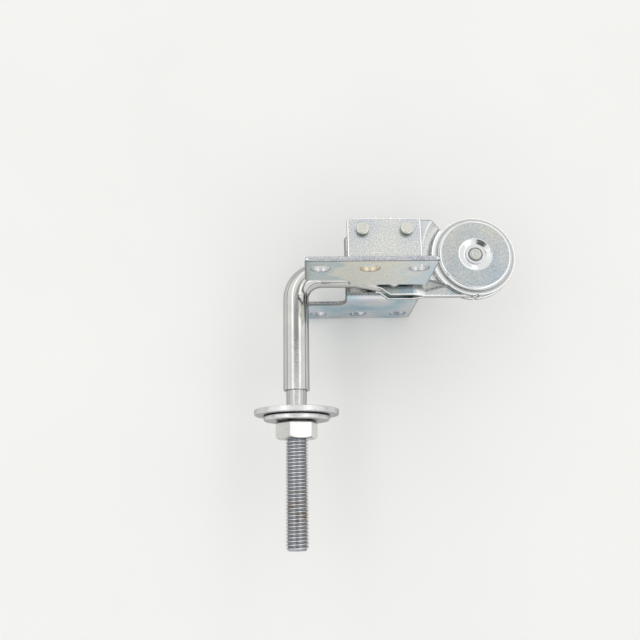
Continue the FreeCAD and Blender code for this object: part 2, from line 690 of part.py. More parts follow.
nub = pad(bracket, nub_sketch, "sheet_thick", "One side")
nubs = bracket.newObject("PartDesign::LinearPattern", "nubs")
nubs.Originals = [nub]
nubs.Direction = (origin_part(bracket, "X_Axis"), [""])
nubs.Occurrences = 2
bind(nubs, Length="nub_pitch")
bracket.Tip = nubs
keep(bracket, "front_bracket")
keep(mirrored("other_bracket", bracket), "back_bracket")

# Covers: pressed cups over the link discs, with a rolled rim and a dished middle
cover = new_body("cover")
cover_shape = turn(cover, "cover_profile", "XZ_Plane", [
    ("pivot_dia / 2", f"{DISH_FLOOR} - cover_thick"),
    ("dish_dia / 2 + cover_thick / 2", f"{DISH_FLOOR} - cover_thick"),
    ("dish_dia / 2 + dish_slope + cover_thick / 2", f"{LINK_FACE} + cover_height - cover_thick"),
    (f"{COVER_RADIUS} - cover_thick", f"{LINK_FACE} + cover_height - cover_thick"),
    (f"{COVER_RADIUS} - cover_thick", LINK_FACE),
    (COVER_RADIUS, LINK_FACE),
    (COVER_RADIUS, f"{LINK_FACE} + cover_height"),
    ("dish_dia / 2 + dish_slope", f"{LINK_FACE} + cover_height"),
    ("dish_dia / 2", DISH_FLOOR),
    ("pivot_dia / 2", DISH_FLOOR),
])
doc.recompute()
cover_top = cover_shape.Shape.BoundBox.ZMax
rim = circular_edges(
    cover_shape, lambda circle: circle.Radius > SIZES["dish_dia"] and circle.Center.z > cover_top - 1e-3)
cover_rim = round_edges(cover, cover_shape, rim, "cover_round")
dish = circular_edges(
    cover_rim, lambda circle: SIZES["pivot_dia"] / 2 + 1e-3 < circle.Radius < SIZES["dish_dia"]
    and circle.Center.z > cover_top - SIZES["dish_depth"] - 1e-3)
round_edges(cover, cover_rim, dish, "dish_round")
bind(cover, Placement__Base__x="pivot_reach", Placement__Base__y=PIVOT_LEVEL)
keep(cover, "front_cover")
keep(mirrored("other_cover", cover), "back_cover")

# Pivot rivet: one turned pin through the whole stack, peened over a collar in each dish
pivot = new_body("pivot")
turn(pivot, "pivot_profile", "XZ_Plane", [
    ("0", f"-{PIVOT_END}"),
    ("pivot_dia / 2 - pivot_edge", f"-{PIVOT_END}"),
    ("pivot_dia / 2", f"-{PIVOT_END} + pivot_edge"),
    ("pivot_dia / 2", f"{PIVOT_END} - pivot_edge"),
    ("pivot_dia / 2 - pivot_edge", PIVOT_END),
    ("0", PIVOT_END),
])
bind(pivot, Placement__Base__x="pivot_reach", Placement__Base__y=PIVOT_LEVEL)
keep(pivot, "pivot_rivet")
collars = []
for side, low in (("front", DISH_FLOOR), ("back", f"(-{DISH_FLOOR} - collar_thick)")):
    collar = new_body(f"{side}_collar")
    turn(collar, f"{side}_collar_profile", "XZ_Plane", [
        ("pivot_dia / 2", low),
        ("collar_dia / 2", low),
        ("collar_dia / 2", f"{low} + collar_thick"),
        ("pivot_dia / 2", f"{low} + collar_thick"),
    ])
    bind(collar, Placement__Base__x="pivot_reach", Placement__Base__y=PIVOT_LEVEL)
    collars.append(collar)
keep(group("collar_pair", collars), "pivot_collars")


# Pawl: a hardened finger on its pin, drawn engaged and set at rest just clear of the tooth tips
pawl = new_body("pawl")
pawl_sketch = new_sketch(pawl, "pawl_edge", "XY_Plane")
draw_outline(pawl_sketch, [
    ("pawl_heel", "0"),
    ("pawl_shoulder_out", "pawl_length - pawl_shoulder_back"),
    ("pawl_tip_out", "pawl_length"),
    ("-pawl_end_in", "pawl_length - pawl_end_back"),
    ("-pawl_heel", "0"),
])
pad(pawl, pawl_sketch, "2 * arm_thick")
pawl_heel_sketch = new_sketch(pawl, "pawl_heel_round", "XY_Plane")
draw_circles(pawl_heel_sketch, [("pawl_heel", "0", "0")])
pad(pawl, pawl_heel_sketch, "2 * arm_thick")
drill(pawl, "pawl_bore", "XY_Plane", [("pawl_pin_dia / 2 + pivot_fit", "0", "0")])
pawl.Placement.Rotation = FreeCAD.Rotation(Z_AXIS, 1)
bind(pawl, Placement__Base__x=f"pivot_reach + {PAWL_PIN[0]}",
     Placement__Base__y=f"{PIVOT_LEVEL} + {PAWL_PIN[1]}", Placement__Rotation__Angle="pawl_angle + pawl_lift")
keep(pawl, "pawl")


# Pawl pin and spring post: small pins across the drum, held in both link discs
def drum_pin(label, dia, place):
    pin = new_body(label + "_body")
    turn(pin, label + "_profile", "XZ_Plane", [
        ("0", f"-{LINK_FACE}"),
        (f"{dia} / 2", f"-{LINK_FACE}"),
        (f"{dia} / 2", LINK_FACE),
        ("0", LINK_FACE),
    ])
    bind(pin, Placement__Base__x=f"pivot_reach + {place[0]}",
         Placement__Base__y=f"{PIVOT_LEVEL} + {place[1]}")
    keep(pin, label)


drum_pin("pawl_pin", "pawl_pin_dia", PAWL_PIN)
drum_pin("spring_post", "post_dia", POST)

# Pawl spring: a curved leaf that bears on the post and pushes the pawl outwards
spring = new_body("spring")
spring_sketch = new_sketch(spring, "spring_section", "XZ_Plane")
draw_outline(spring_sketch, [
    (SPRING_RING, "-spring_tall / 2"),
    (f"{SPRING_RING} + spring_thick", "-spring_tall / 2"),
    (f"{SPRING_RING} + spring_thick", "spring_tall / 2"),
    (SPRING_RING, "spring_tall / 2"),
])
spring_arc = spring.newObject("PartDesign::Revolution", "spring_arc")
spring_arc.Profile = spring_sketch
spring_arc.ReferenceAxis = (spring_sketch, ["V_Axis"])
bind(spring_arc, Angle="spring_sweep")
spring.Placement.Rotation = FreeCAD.Rotation(Z_AXIS, 1)
bind(spring, Placement__Base__x="pivot_reach", Placement__Base__y=PIVOT_LEVEL,
     Placement__Rotation__Angle=f"{POST_ANGLE} - spring_tail")
keep(spring, "pawl_spring")

doc.recompute()
failed = [thing.Name for thing in doc.Objects if {"Invalid", "Error"} & set(thing.State)]
failed += [piece.Label for piece in pieces if piece.Shape.isNull() or not piece.Shape.isValid()]
if failed:
    raise RuntimeError(f"These objects did not build: {', '.join(failed)}")
os.makedirs("parts", exist_ok=True)
for piece in pieces:
    piece.Shape.exportStep(f"parts/{piece.Label}.step")
    print(piece.Label, len(piece.Shape.Solids), round(piece.Shape.Volume, 2), piece.Shape.BoundBox)
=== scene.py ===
import json
import math

import bmesh
import bpy
from mathutils import Matrix, Vector
from mathutils.bvhtree import BVHTree

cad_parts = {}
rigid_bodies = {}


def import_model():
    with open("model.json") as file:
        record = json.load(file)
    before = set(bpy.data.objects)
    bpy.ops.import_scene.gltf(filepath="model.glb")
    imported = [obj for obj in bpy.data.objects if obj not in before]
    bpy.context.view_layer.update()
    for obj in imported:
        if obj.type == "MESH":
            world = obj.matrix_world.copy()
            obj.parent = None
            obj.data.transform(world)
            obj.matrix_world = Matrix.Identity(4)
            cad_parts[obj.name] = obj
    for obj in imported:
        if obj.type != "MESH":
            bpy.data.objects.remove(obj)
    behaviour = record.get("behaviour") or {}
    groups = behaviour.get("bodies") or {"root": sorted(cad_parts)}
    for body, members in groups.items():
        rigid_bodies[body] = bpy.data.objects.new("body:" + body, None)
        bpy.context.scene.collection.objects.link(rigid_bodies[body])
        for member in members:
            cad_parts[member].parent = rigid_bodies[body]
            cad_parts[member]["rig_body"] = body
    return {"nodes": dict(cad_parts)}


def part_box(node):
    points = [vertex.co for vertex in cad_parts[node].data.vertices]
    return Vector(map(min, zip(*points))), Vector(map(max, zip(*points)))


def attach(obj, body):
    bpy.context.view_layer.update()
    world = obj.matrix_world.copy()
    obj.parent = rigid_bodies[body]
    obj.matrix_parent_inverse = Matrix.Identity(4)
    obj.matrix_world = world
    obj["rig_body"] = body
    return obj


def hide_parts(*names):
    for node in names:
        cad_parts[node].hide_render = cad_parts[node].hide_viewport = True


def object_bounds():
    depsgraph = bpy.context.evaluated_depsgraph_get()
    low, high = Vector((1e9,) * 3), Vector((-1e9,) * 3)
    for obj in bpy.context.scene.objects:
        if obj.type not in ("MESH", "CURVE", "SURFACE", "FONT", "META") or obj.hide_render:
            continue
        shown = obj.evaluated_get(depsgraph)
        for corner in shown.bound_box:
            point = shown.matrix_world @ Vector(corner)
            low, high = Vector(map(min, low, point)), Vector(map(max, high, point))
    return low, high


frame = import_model()
solid_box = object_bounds()


# Bent tube: a drawn steel tube with a quarter bend, its far end squeezed flat between the arm plates.
# It is polished and chromed, so it mirrors the room in long streaks. Fine drawing marks run along it, and
# the upper side of its straight part is scuffed.
def noise(nodes, links, place, scale, detail=3.0, roughness=0.5, stretch=(1, 1, 1)):
    """A noise pattern on the piece's own coordinates, in features per metre."""
    mapping = nodes.new("ShaderNodeMapping")
    mapping.inputs["Scale"].default_value = stretch
    links.new(place, mapping.inputs["Vector"])
    texture = nodes.new("ShaderNodeTexNoise")
    texture.inputs["Scale"].default_value = scale
    texture.inputs["Detail"].default_value = detail
    texture.inputs["Roughness"].default_value = roughness
    links.new(mapping.outputs["Vector"], texture.inputs["Vector"])
    return texture.outputs["Fac"]


def ramp(nodes, links, value, stops):
    """Colours spread over a value, given as place and linear colour."""
    node = nodes.new("ShaderNodeValToRGB")
    while len(node.color_ramp.elements) < len(stops):
        node.color_ramp.elements.new(0.5)
    for element, (place, colour) in zip(node.color_ramp.elements, stops):
        element.position = place
        element.color = (*colour, 1)
    links.new(value, node.inputs["Fac"])
    return node.outputs["Color"]


def spread(nodes, links, value, low, high, start=0.3, end=0.7, clamp=True):
    """A value from start to end, spread over low to high."""
    node = nodes.new("ShaderNodeMapRange")
    node.clamp = clamp
    for socket, number in (("From Min", start), ("From Max", end), ("To Min", low), ("To Max", high)):
        node.inputs[socket].default_value = number
    links.new(value, node.inputs["Value"])
    return node.outputs["Result"]


def times(nodes, links, one, other):
    """The product of two values."""
    node = nodes.new("ShaderNodeMath")
    node.operation = "MULTIPLY"
    links.new(one, node.inputs[0])
    links.new(other, node.inputs[1])
    return node.outputs["Value"]


def along(nodes, links, place, axis):
    """One coordinate of a place, by the axis's letter."""
    node = nodes.new("ShaderNodeSeparateXYZ")
    links.new(place, node.inputs["Vector"])
    return node.outputs[axis]


def bump(nodes, links, height, depth, normal=None):
    """Fine relief of a depth in metres, on top of another relief if one is given."""
    node = nodes.new("ShaderNodeBump")
    node.inputs["Strength"].default_value = 1.0
    node.inputs["Distance"].default_value = depth
    links.new(height, node.inputs["Height"])
    if normal is not None:
        links.new(normal, node.inputs["Normal"])
    return node.outputs["Normal"]


def metal(name):
    """A new metal with its shader, nodes, links and place on the piece."""
    material = bpy.data.materials.new(name)
    material.use_nodes = True
    nodes, links = material.node_tree.nodes, material.node_tree.links
    shader = nodes["Principled BSDF"]
    shader.inputs["Metallic"].default_value = 1.0
    place = nodes.new("ShaderNodeTexCoord").outputs["Object"]
    return material, shader, nodes, links, place


def repaint(node, material):
    """Gives the material to a CAD piece that is shown as it is."""
    slots = frame["nodes"][node].data.materials
    slots.clear()
    slots.append(material)


SCUFFED_BELOW = (0.055, 0.040)
SCUFFED_ABOVE = (0.0052, 0.0057)
chrome, shader, nodes, links, place = metal("chromed_tube")
cloud = noise(nodes, links, place, 90, 4.0)
links.new(ramp(nodes, links, cloud, [(0.35, (0.58, 0.58, 0.57)), (0.65, (0.66, 0.66, 0.64))]),
          shader.inputs["Base Color"])
shader.inputs["Specular Tint"].default_value = (0.5, 0.5, 0.5, 1)
drawn = noise(nodes, links, place, 1500, 3.0, stretch=(1, 0.06, 1))
links.new(spread(nodes, links, drawn, 0.05, 0.13), shader.inputs["Roughness"])
worn = times(
    nodes, links,
    spread(nodes, links, along(nodes, links, place, "Y"), 0.0, 1.0, *SCUFFED_BELOW),
    spread(nodes, links, along(nodes, links, place, "Z"), 0.0, 1.0, *SCUFFED_ABOVE))
scuffs = times(nodes, links, noise(nodes, links, place, 2300, 1.0), worn)
links.new(bump(nodes, links, scuffs, 0.00003, bump(nodes, links, drawn, 0.000003)), shader.inputs["Normal"])
repaint("bent_tube", chrome)

# Threaded stud: a turned steel bar, zinc plated, with a coarse rolled thread and a plain neck.
# The neck is pressed into the tube, the tip is chamfered, and the lower half of the thread is stained by oil.
THREAD_RADIUS = 0.005
THREAD_PITCH = 0.0015
THREAD_DEPTH = 0.00090
THREAD_STEPS = 40
THREAD_PROFILE = (
    (0.0, 1.0), (0.10, 1.0), (0.16, 0.93), (0.41, 0.10), (0.46, 0.0),
    (0.64, 0.0), (0.69, 0.10), (0.94, 0.93), (1.0, 1.0))
START_TURNS = 1.5
SPARE_TURNS = 2
TIP_CHAMFER = 0.0012
NUT_OVERLAP = 0.0002
CORE_RADIUS = 0.0045
NECK_RADIUS = 0.00465
NECK_END_RADIUS = 0.0042
NECK_STEP = 0.0001
NECK_CHAMFER = 0.0005
NECK_STEPS = 64
STAINED = (-0.042, -0.020)
STUD_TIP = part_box("threaded_stud")[0].y
STUD_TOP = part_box("threaded_stud")[1].y
THREAD_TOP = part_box("hex_nut")[0].y + NUT_OVERLAP
NECK_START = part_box("hex_nut")[1].y


def from_axis(nodes, links, place, centre, across):
    """The distance from an axis through the centre. Across has 0 for the axis and 1 for the other two."""
    shifted = nodes.new("ShaderNodeVectorMath")
    shifted.operation = "SUBTRACT"
    links.new(place, shifted.inputs[0])
    shifted.inputs[1].default_value = centre
    flattened = nodes.new("ShaderNodeVectorMath")
    flattened.operation = "MULTIPLY"
    links.new(shifted.outputs["Vector"], flattened.inputs[0])
    flattened.inputs[1].default_value = across
    distance = nodes.new("ShaderNodeVectorMath")
    distance.operation = "LENGTH"
    links.new(flattened.outputs["Vector"], distance.inputs[0])
    return distance.outputs["Value"]


def as_piece(bm, name, materials, sharp):
    """A new object from a mesh, smooth except where it turns by more than the sharp angle in degrees."""
    mesh = bpy.data.meshes.new(name)
    bm.to_mesh(mesh)
    bm.free()
    mesh.polygons.foreach_set("use_smooth", [True] * len(mesh.polygons))
    mesh.set_sharp_from_angle(angle=math.radians(sharp))
    for material in materials:
        mesh.materials.append(material)
    piece = bpy.data.objects.new(name, mesh)
    bpy.context.scene.collection.objects.link(piece)
    return piece


def stand_in(piece, node):
    """Puts the piece in place of a CAD piece, on the same body."""
    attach(piece, frame["nodes"][node]["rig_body"])
    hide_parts(node)


thread_zinc, shader, nodes, links, place = metal("thread_zinc")
crest = spread(nodes, links, from_axis(nodes, links, place, (0, 0, 0), (1, 0, 1)), 0.0, 1.0,
               THREAD_RADIUS - THREAD_DEPTH, THREAD_RADIUS)
# Painted shade darkens the thread towards its roots and a painted highlight lightens its crests.
shaded_thread = ramp(nodes, links, crest, [
    (0.0, (0.42, 0.44, 0.48)), (0.35, (0.52, 0.54, 0.58)), (0.55, (0.55, 0.56, 0.58)),
    (0.6, (0.54, 0.54, 0.54)), (0.9, (0.64, 0.64, 0.65))])
stain = noise(nodes, links, place, 420, 4.0)
patch = ramp(nodes, links, spread(nodes, links, along(nodes, links, place, "Y"), 0.0, 1.0, *STAINED),
             [(0.0, (0, 0, 0)), (0.35, (1, 1, 1)), (0.6, (1, 1, 1)), (1.0, (0, 0, 0))])
tint = nodes.new("ShaderNodeMix")
tint.data_type = "RGBA"
tint.blend_type = "MULTIPLY"
links.new(times(nodes, links, spread(nodes, links, stain, 0.0, 0.75, 0.45, 0.70), patch),
          tint.inputs["Factor"])
links.new(shaded_thread, tint.inputs["A"])
tint.inputs["B"].default_value = (0.78, 0.62, 0.42, 1)
links.new(tint.outputs["Result"], shader.inputs["Base Color"])
shader.inputs["Specular Tint"].default_value = (0.45, 0.45, 0.46, 1)
links.new(spread(nodes, links, stain, 0.12, 0.24), shader.inputs["Roughness"])
links.new(bump(nodes, links, noise(nodes, links, place, 2600, 2.0), 0.00002), shader.inputs["Normal"])

thread_turns = math.ceil((THREAD_TOP - STUD_TIP) / THREAD_PITCH) + SPARE_TURNS
bm = bmesh.new()
chain = [
    bm.verts.new((THREAD_RADIUS - THREAD_DEPTH * depth, STUD_TIP + THREAD_PITCH * (turn - START_TURNS), 0))
    for turn, depth in THREAD_PROFILE
]
chain_edges = [bm.edges.new(pair) for pair in zip(chain, chain[1:])]
bmesh.ops.spin(
    bm, geom=chain + chain_edges, cent=(0, 0, 0), axis=(0, 1, 0), dvec=(0, THREAD_PITCH / THREAD_STEPS, 0),
    angle=math.tau * thread_turns, steps=THREAD_STEPS * thread_turns)
bmesh.ops.remove_doubles(bm, verts=bm.verts, dist=1e-6)
for level, side in ((STUD_TIP, (0, -1, 0)), (THREAD_TOP, (0, 1, 0))):
    bmesh.ops.bisect_plane(
        bm, geom=bm.verts[:] + bm.edges[:] + bm.faces[:], dist=1e-7, plane_co=(0, level, 0), plane_no=side,
        clear_outer=True)
for vert in bm.verts:
    limit = THREAD_RADIUS - TIP_CHAMFER + (vert.co.y - STUD_TIP)
    reach = math.hypot(vert.co.x, vert.co.z)
    if reach > limit:
        vert.co.x *= limit / reach
        vert.co.z *= limit / reach
bmesh.ops.holes_fill(bm, edges=[edge for edge in bm.edges if edge.is_boundary])
neck = [
    bm.verts.new((radius, level, 0))
    for radius, level in (
        (0, THREAD_TOP), (CORE_RADIUS, THREAD_TOP), (CORE_RADIUS, NECK_START),
        (NECK_RADIUS, NECK_START + NECK_STEP), (NECK_RADIUS, STUD_TOP - NECK_CHAMFER),
        (NECK_END_RADIUS, STUD_TOP), (0, STUD_TOP))
]
neck_edges = [bm.edges.new(pair) for pair in zip(neck, neck[1:])]
bmesh.ops.spin(
    bm, geom=neck + neck_edges, cent=(0, 0, 0), axis=(0, 1, 0), angle=math.tau, steps=NECK_STEPS,
    use_merge=True)
bmesh.ops.remove_doubles(bm, verts=bm.verts, dist=1e-7)
bmesh.ops.recalc_face_normals(bm, faces=bm.faces)
stand_in(as_piece(bm, "stud", [thread_zinc], sharp=28), "threaded_stud")


# Nut and washers: an M10 hexagon nut and two stamped rings, bright zinc plated and clamped on the stud.
# Their edges are rounded by tumbling before the plating. Painted shade darkens the gaps between them and
# the nut's lower face.
FLAT_ANGLE = 0.3
SHARP_ANGLE = 35


def softened(name, node, width, materials, choose=None, edge=None, segments=3, slight=None):
    """A CAD piece with its sharp edges rounded, in place of the CAD piece and nowhere outside it. The faces
    take the material that choose gives by number, and the rounded edges the one that edge gives. Edges that
    slight picks are rounded by a third as much."""
    bm = bmesh.new()
    bm.from_mesh(frame["nodes"][node].data)
    bmesh.ops.remove_doubles(bm, verts=bm.verts, dist=1e-6)
    solid = BVHTree.FromBMesh(bm)
    bmesh.ops.dissolve_limit(
        bm, angle_limit=math.radians(FLAT_ANGLE), verts=bm.verts, edges=bm.edges,
        use_dissolve_boundaries=False)
    for face in bm.faces:
        face.material_index = choose(face) if choose else 0
    sharp = [
        line for line in bm.edges
        if len(line.link_faces) == 2 and line.calc_face_angle(0) > math.radians(SHARP_ANGLE)
    ]
    fine = [line for line in sharp if slight and slight(line)]
    coarse = [line for line in sharp if not (slight and slight(line))]
    for lines, offset in ((fine, width / 3), (coarse, width)):
        rounded = bmesh.ops.bevel(
            bm, geom=lines, offset=offset, offset_type="OFFSET", affect="EDGES", segments=segments,
            profile=0.5, material=-1, clamp_overlap=False)
        for face in rounded["faces"]:
            face.material_index = edge(face) if edge else 0
    for vert in bm.verts:
        spot, way, _, _ = solid.find_nearest(vert.co)
        if (vert.co - spot).dot(way) > 0:
            vert.co = spot
    piece = as_piece(bm, name, materials, SHARP_ANGLE)
    weighted = piece.modifiers.new("even_shading", "WEIGHTED_NORMAL")
    weighted.keep_sharp = True
    stand_in(piece, node)


def gloss(shader, nodes, links, place, scale, detail, low, high):
    """A roughness that varies between two values over the piece."""
    links.new(spread(nodes, links, noise(nodes, links, place, scale, detail), low, high),
              shader.inputs["Roughness"])


bright_zinc, shader, nodes, links, place = metal("bright_zinc")
links.new(ramp(nodes, links, noise(nodes, links, place, 150, 3.0),
               [(0.3, (0.70, 0.71, 0.72)), (0.7, (0.80, 0.80, 0.79))]), shader.inputs["Base Color"])
shader.inputs["Specular Tint"].default_value = (0.5, 0.5, 0.5, 1)
scuff = noise(nodes, links, place, 900, 4.0)
links.new(spread(nodes, links, scuff, 0.24, 0.38), shader.inputs["Roughness"])
links.new(bump(nodes, links, scuff, 0.000006), shader.inputs["Normal"])
# Painted shade: near-black zinc on the faces in the gap between the washers.
gap_shade_zinc, shader, nodes, links, place = metal("painted_gap_shade")
shader.inputs["Base Color"].default_value = (0.06, 0.06, 0.06, 1)
gloss(shader, nodes, links, place, scale=900, detail=2.0, low=0.3, high=0.5)
NUT_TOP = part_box("hex_nut")[1].y
NUT_SHADE_DEPTH = 0.002
# Painted shade: the nut is darkened to near black over its top end, under the washer.
nut_zinc, shader, nodes, links, place = metal("nut_zinc")
top_shade_band = spread(nodes, links, along(nodes, links, place, "Y"), 0.0, 1.0, NUT_TOP - NUT_SHADE_DEPTH, NUT_TOP)
links.new(ramp(nodes, links, top_shade_band, [
    (0.30, (0.74, 0.74, 0.73)), (0.55, (0.10, 0.10, 0.10)), (1.0, (0.03, 0.03, 0.03))]),
    shader.inputs["Base Color"])
gloss(shader, nodes, links, place, scale=900, detail=4.0, low=0.14, high=0.26)
# Painted shade: a darker copy of the nut's zinc for its lower face and chamfer.
nut_underside_shade, shader, nodes, links, place = metal("nut_underside_shade")
shader.inputs["Base Color"].default_value = (0.46, 0.47, 0.46, 1)
gloss(shader, nodes, links, place, scale=900, detail=4.0, low=0.22, high=0.36)
UNDER_TILT = -0.2


def nut_face(face):
    """0 the nut's flats and top, 1 its lower face and chamfer, painted darker as shade."""
    return 1 if face.normal.y < UNDER_TILT else 0


softened("nut", "hex_nut", width=0.00025, materials=[nut_zinc, nut_underside_shade], choose=nut_face)
TURN_STEPS = 128


def turned(name, node, profile, materials, choose):
    """A turned piece in place of a CAD piece: a closed outline of points, spun right round the stud."""
    bm = bmesh.new()
    chain = [bm.verts.new(point) for point in profile]
    edges = [bm.edges.new((chain[k - 1], chain[k])) for k in range(len(chain))]
    bmesh.ops.spin(
        bm, geom=chain + edges, cent=(0, 0, 0), axis=(0, 1, 0), angle=math.tau, steps=TURN_STEPS,
        use_merge=True)
    bmesh.ops.remove_doubles(bm, verts=bm.verts, dist=1e-7)
    bmesh.ops.recalc_face_normals(bm, faces=bm.faces)
    for face in bm.faces:
        face.material_index = choose(face)
    stand_in(as_piece(bm, name, materials, SHARP_ANGLE), node)


def arc(across, level, radius, start, end, count=6):
    """Points of an outline on an arc, from one angle to another in degrees."""
    angles = [math.radians(start + (end - start) * k / count) for k in range(count + 1)]
    return [(across + radius * math.cos(angle), level + radius * math.sin(angle), 0) for angle in angles]


WASHER_BORE = 0.0053
GAP_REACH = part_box("small_washer")[1].x + 0.0002
GAP_MARGIN = 1e-5
GAP_TILT = 0.35
RIM_WIDTH = 0.001


def washer_face(face, side):
    """0 the open faces, 1 those in the gap between the washers, which is on the given side, painted dark as
    shade.
    """
    reach = max(math.hypot(vert.co.x, vert.co.z) for vert in face.verts)
    return 1 if side * face.normal.y > GAP_TILT and reach < GAP_REACH + GAP_MARGIN else 0


for name, node, low_round, high_round, gap_side in (
        ("washer_small", "small_washer", 0.0009, 0.0008, 1),
        ("washer_large", "large_washer", 0.0006, 0.0003, -1)):
    low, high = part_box(node)
    turned(name, node, [
        (WASHER_BORE, high.y, 0), (WASHER_BORE, low.y, 0), (min(GAP_REACH, high.x - RIM_WIDTH), low.y, 0),
        *arc(high.x - low_round, low.y + low_round, low_round, -90, 0),
        *arc(high.x - high_round, high.y - high_round, high_round, 0, 90),
    ], [bright_zinc, gap_shade_zinc], lambda face: washer_face(face, gap_side))


# Arm plates: two steel stampings riveted to the tube's flat, their discs holding the ratchet window.
# Zinc plated sheet, with the faint blue and straw tints of passivation, a satin grain, dull sheared walls
# darkened with painted shade, and a painted highlight on the joggle and the rounded edges.
def scaled(nodes, links, colour, factor):
    """A colour made brighter or darker by a factor."""
    node = nodes.new("ShaderNodeVectorMath")
    node.operation = "SCALE"
    links.new(colour, node.inputs[0])
    links.new(factor, node.inputs["Scale"])
    return node.outputs["Vector"]


def zinc_sheet(name, tints, grain, depth, low, high, fleck=0.1):
    """Passivated zinc on sheet steel: drifting tints, a grain of a size, depth and fleck, and a roughness
    from low to high."""
    material, shader, nodes, links, place = metal(name)
    drift = ramp(nodes, links, noise(nodes, links, place, 55, 3.0, 0.55), tints)
    speckle = noise(nodes, links, place, 1 / grain, 1.5)
    flecked = scaled(nodes, links, drift, spread(nodes, links, speckle, 1 - fleck, 1 + fleck))
    links.new(flecked, shader.inputs["Base Color"])
    links.new(spread(nodes, links, speckle, low, high), shader.inputs["Roughness"])
    links.new(bump(nodes, links, speckle, depth), shader.inputs["Normal"])
    return material


arm_zinc = zinc_sheet(
    "arm_zinc", [(0.3, (0.50, 0.58, 0.60)), (0.5, (0.64, 0.67, 0.68)), (0.7, (0.70, 0.70, 0.68))],
    grain=0.0009, depth=0.000006, low=0.14, high=0.26)
# Painted highlight: near-white zinc on rounded edges, joggles, cones and flange corners.
highlight_zinc, shader, nodes, links, place = metal("highlight_zinc")
shader.inputs["Base Color"].default_value = (0.95, 0.95, 0.94, 1)
gloss(shader, nodes, links, place, scale=1500, detail=2.0, low=0.16, high=0.30)
# Sheared walls: duller than the sheet, and darkened with painted shade.
sheared_wall_shade = zinc_sheet(
    "sheared_wall_shade", [(0.3, (0.20, 0.22, 0.23)), (0.5, (0.27, 0.28, 0.28)), (0.7, (0.34, 0.34, 0.33))],
    grain=0.0005, depth=0.00002, low=0.26, high=0.42)
WALL_TILT = 0.2
JOGGLE_TILT = 0.97


def sheet_face(face):
    """0 the sheet's face, 1 its sheared wall."""
    return 1 if abs(face.normal.z) < WALL_TILT else 0


def arm_face(face):
    """0 the sheet's face, 1 its sheared wall, 2 the joggle, with a painted highlight."""
    slanted = WALL_TILT < abs(face.normal.z) < JOGGLE_TILT and abs(face.normal.x) > WALL_TILT
    return 2 if slanted else sheet_face(face)


for name, node in (("arm_front", "front_arm_plate"), ("arm_back", "back_arm_plate")):
    softened(name, node, width=0.0004, materials=[arm_zinc, sheared_wall_shade, highlight_zinc], choose=arm_face,
             edge=lambda face: 2)
softened("arm_rivet_pair", "arm_rivets", width=0.0002, materials=[bright_zinc])

# Link plates: stamped strips inside the brackets, coned in to the drum and ending as discs over the arms.
# The same plated sheet, with a painted highlight on the drawn cone and round the disc's rim.
link_zinc = zinc_sheet(
    "link_zinc", [(0.3, (0.58, 0.63, 0.66)), (0.5, (0.68, 0.70, 0.71)), (0.7, (0.72, 0.72, 0.70))],
    grain=0.0008, depth=0.000004, low=0.20, high=0.32, fleck=0.05)
DISC_REACH = 0.0215
DISC_RIM_HIGHLIGHT = (0.0187, 0.0192)
CONE_TILT = 0.9
RIM_TILT = 0.4
pivot_low, pivot_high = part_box("pivot_rivet")
pivot_at = (pivot_low + pivot_high) / 2
# Painted highlight: the disc turns near-white in a ring at its rim, and is darker inside it.
disc_highlight_zinc, shader, nodes, links, place = metal("disc_highlight_zinc")
rim = spread(nodes, links, from_axis(nodes, links, place, pivot_at, (1, 1, 0)), 0.0, 1.0, *DISC_RIM_HIGHLIGHT)
links.new(ramp(nodes, links, rim, [(0.0, (0.50, 0.52, 0.52)), (1.0, (0.90, 0.90, 0.89))]),
          shader.inputs["Base Color"])
gloss(shader, nodes, links, place, scale=1250, detail=1.5, low=0.20, high=0.32)


def from_pivot(face):
    """The nearest and farthest reach of a face from the pivot's axis."""
    reaches = [math.hypot(vert.co.x - pivot_at.x, vert.co.y - pivot_at.y) for vert in face.verts]
    return min(reaches), max(reaches)


def link_face(face):
    """0 the strip, 1 its sheared wall, 2 the drawn cone with a painted highlight, 3 the disc."""
    if WALL_TILT < abs(face.normal.z) < CONE_TILT:
        return 2
    on_disc = from_pivot(face)[1] < DISC_REACH and abs(face.normal.z) > CONE_TILT
    return 3 if on_disc else sheet_face(face)


def link_edge(face):
    """The rounded edges: 3 round the disc's faces, 1 elsewhere, a dark outline of painted shade."""
    return 3 if from_pivot(face)[1] < DISC_REACH and abs(face.normal.z) > RIM_TILT else 1


for name, node in (("link_front", "front_link_plate"), ("link_back", "back_link_plate")):
    softened(name, node, width=0.0005, materials=[link_zinc, sheared_wall_shade, highlight_zinc, disc_highlight_zinc],
             choose=link_face, edge=link_edge)

# Brackets: sheet steel folded to an upright plate and a flange with three screw holes.
# The plate's face is grainy from the press and its rolled edge carries a painted highlight. The flange is
# tinted blue and straw, in bands along the front one and in patches on the back one, with a painted glint
# on its free corners and painted shade on the sheared walls.
HOLES = (0.0112, 0.0322, 0.0532)
HOLE_LINE = 0.03565
HOLE_REACH = 0.0056
FOLD_TOP = 0.0755
BANDED = (0.004, 0.0604)
HOLE_TILT = 0.5
FLAT_TILT = 0.95
CORNER_TILT = 0.2
LEVEL_TILT = 0.1
OUTER_TILT = 0.7
plate_zinc = zinc_sheet(
    "plate_zinc", [(0.3, (0.60, 0.63, 0.67)), (0.5, (0.67, 0.69, 0.68)), (0.7, (0.74, 0.74, 0.70))],
    grain=0.0006, depth=0.000004, low=0.26, high=0.40, fleck=0.24)
flange_zinc, shader, nodes, links, place = metal("flange_zinc")
bands = nodes.new("ShaderNodeMath")
links.new(spread(nodes, links, along(nodes, links, place, "X"), 0.0, 1.0, *BANDED), bands.inputs[0])
links.new(spread(nodes, links, noise(nodes, links, place, 70, 2.0), -0.2, 0.2), bands.inputs[1])
